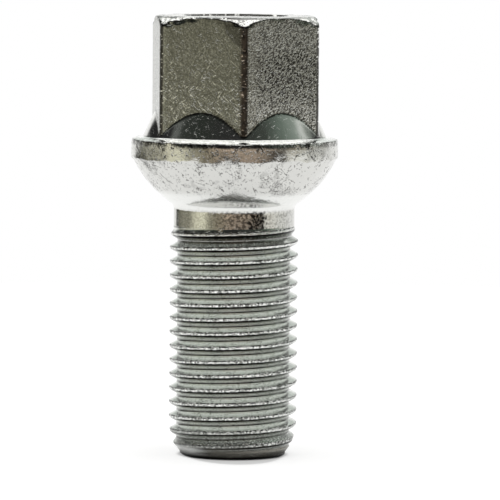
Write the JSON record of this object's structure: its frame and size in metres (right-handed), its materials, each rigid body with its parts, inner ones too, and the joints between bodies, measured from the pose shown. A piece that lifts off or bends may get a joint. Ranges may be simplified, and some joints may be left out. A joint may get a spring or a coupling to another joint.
{
  "type": "wheel bolt",
  "caption": "Wheel bolt with a hexagon head, a spherical seat, a plain shank and a fine rolled thread with a chamfered end, in clear zinc plated steel.",
  "frame": {"origin": "centre of the flat face at the threaded end, on which the bolt stands", "axes": "+Z along the bolt, from the threaded end to the head; a pair of the hexagon's flats faces +X and -X"},
  "size_m": [0.022, 0.022, 0.0468],
  "materials": {
    "zinc_plated_steel": "satin clear zinc plating over forged and rolled steel, lightly scuffed"
  },
  "bodies": {
    "root": {"wheel_bolt": "zinc_plated_steel"}
  },
  "joints": []
}
